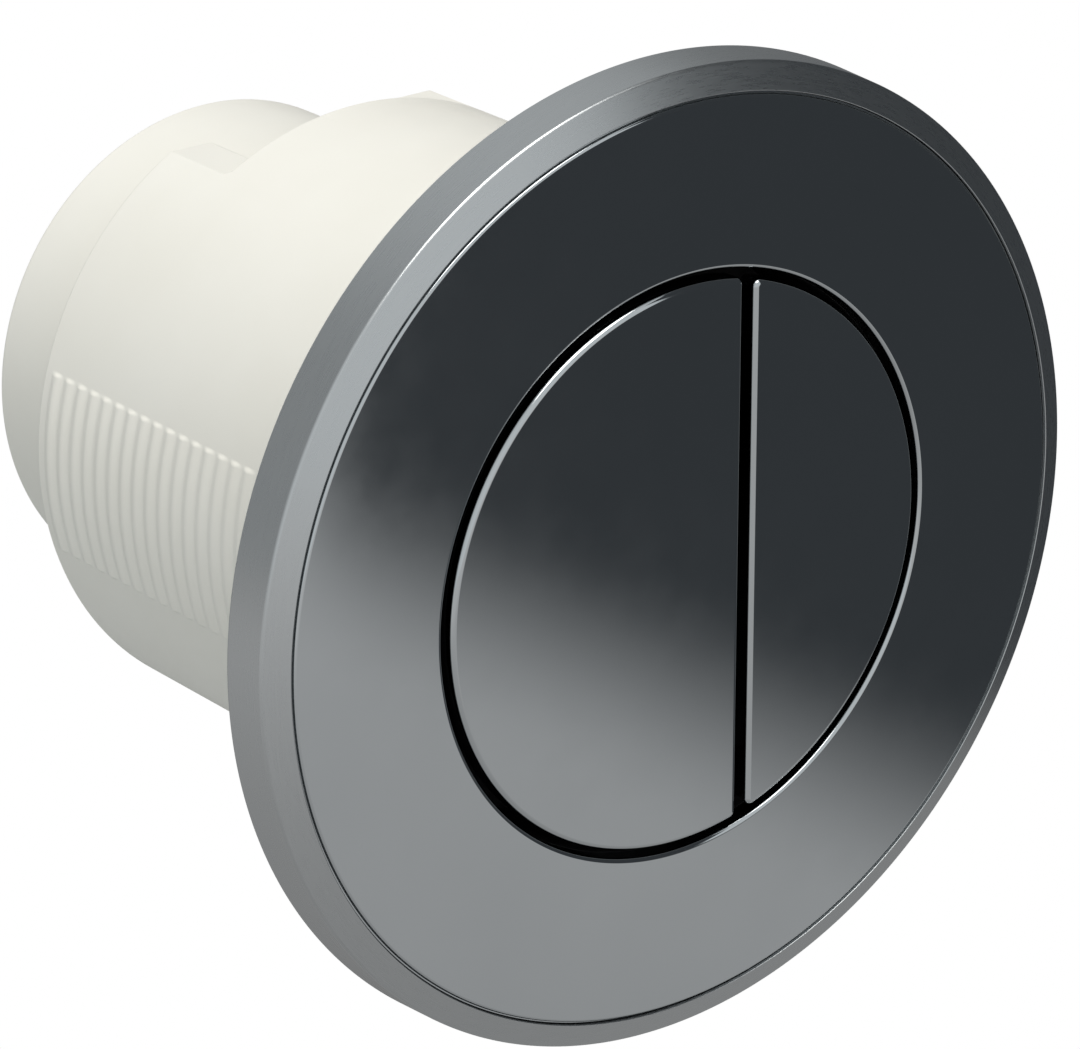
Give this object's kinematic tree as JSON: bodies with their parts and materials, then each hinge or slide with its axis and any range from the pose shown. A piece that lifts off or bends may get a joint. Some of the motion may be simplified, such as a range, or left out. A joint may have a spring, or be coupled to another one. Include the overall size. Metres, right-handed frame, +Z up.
{
  "type": "flush plate",
  "caption": "Round dual-flush plate for a concealed cistern: a large and a small key in a bevelled ring, on an in-wall sleeve with thread patches and a rear cup for the air hoses.",
  "frame": {"origin": "centre of the plate on the wall plane, where the cover ring's back edge lies", "axes": "+Y into the wall, the way the keys are pressed; the front faces -Y; +Z up; +X to the right seen from the front"},
  "size_m": [0.094, 0.0753, 0.094],
  "materials": {
    "satin_metal": "satin",
    "dark_chrome": "gloss dark chrome",
    "white_plastic": "fine satin moulding",
    "black_plastic": "matt moulding",
    "rubber": "matt"
  },
  "bodies": {
    "housing": {"cover_ring": "satin_metal", "face_plate": "dark_chrome", "button_frame": "black_plastic", "wall_sleeve": "white_plastic", "rear_cup": "white_plastic", "bellows_retainer": "black_plastic", "full_flush_bellows": "rubber", "partial_flush_bellows": "rubber"},
    "full_flush_key": {"full_flush_button": "dark_chrome", "full_flush_pusher": "black_plastic"},
    "partial_flush_key": {"partial_flush_button": "dark_chrome", "partial_flush_pusher": "black_plastic"}
  },
  "joints": [
    {"name": "full_flush_press", "type": "slide", "parent": "housing", "child": "full_flush_key", "axis": [0, 1, 0], "range_m": [0, 0.004], "stiffness_N_per_m": 800, "deforming": ["full_flush_bellows"]},
    {"name": "partial_flush_press", "type": "slide", "parent": "housing", "child": "partial_flush_key", "axis": [0, 1, 0], "range_m": [0, 0.004], "stiffness_N_per_m": 800, "deforming": ["partial_flush_bellows"]}
  ]
}
